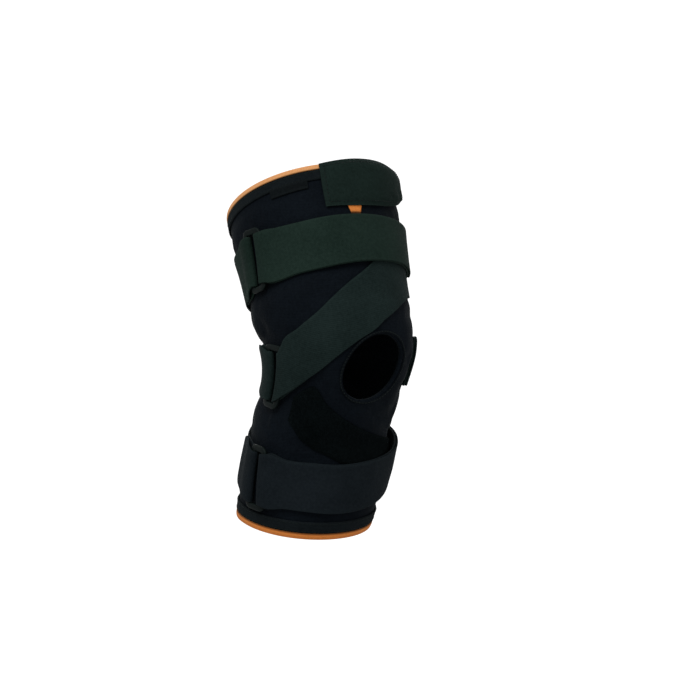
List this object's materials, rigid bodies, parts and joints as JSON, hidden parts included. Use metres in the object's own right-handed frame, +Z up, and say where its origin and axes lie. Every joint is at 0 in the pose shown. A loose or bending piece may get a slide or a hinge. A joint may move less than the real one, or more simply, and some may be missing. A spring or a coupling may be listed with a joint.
{
  "type": "knee ligament brace",
  "caption": "Bent neoprene knee sleeve with an open kneecap hole, straps through plastic loops at thigh, knee and calf, and bound edges.",
  "frame": {"origin": "centre of the knee, on the leg's centre line where the sleeve bends", "axes": "+Z up, from shin to thigh; -Y towards the front of the knee; -X towards the outer side of the leg"},
  "size_m": [0.1611, 0.1972, 0.3406],
  "materials": {
    "neoprene": "padded knit-faced neoprene, matte",
    "webbing": "woven hook-and-loop strap, low sheen",
    "binding": "woven binding tape",
    "orange_trim": "stitched knit edge trim",
    "plush": "brushed loop pile",
    "loop_plastic": "moulded, slightly satin",
    "label_weave": "fine woven label, blank"
  },
  "bodies": {
    "root": {"sleeve": "neoprene", "kneecap_rim": "binding", "top_trim": "orange_trim", "top_tape": "binding", "bottom_trim": "orange_trim", "bottom_tape": "binding", "thigh_strap": "webbing", "thigh_tab": "webbing", "cross_strap": "webbing", "knee_tab": "webbing", "rear_strap": "webbing", "medial_tab": "webbing", "calf_strap": "webbing", "calf_tab": "webbing", "thigh_ring": "loop_plastic", "knee_ring": "loop_plastic", "medial_ring": "loop_plastic", "calf_ring": "loop_plastic", "top_flap": "webbing", "plush_band": "plush", "label": "label_weave", "orange_tag": "orange_trim"}
  },
  "joints": []
}
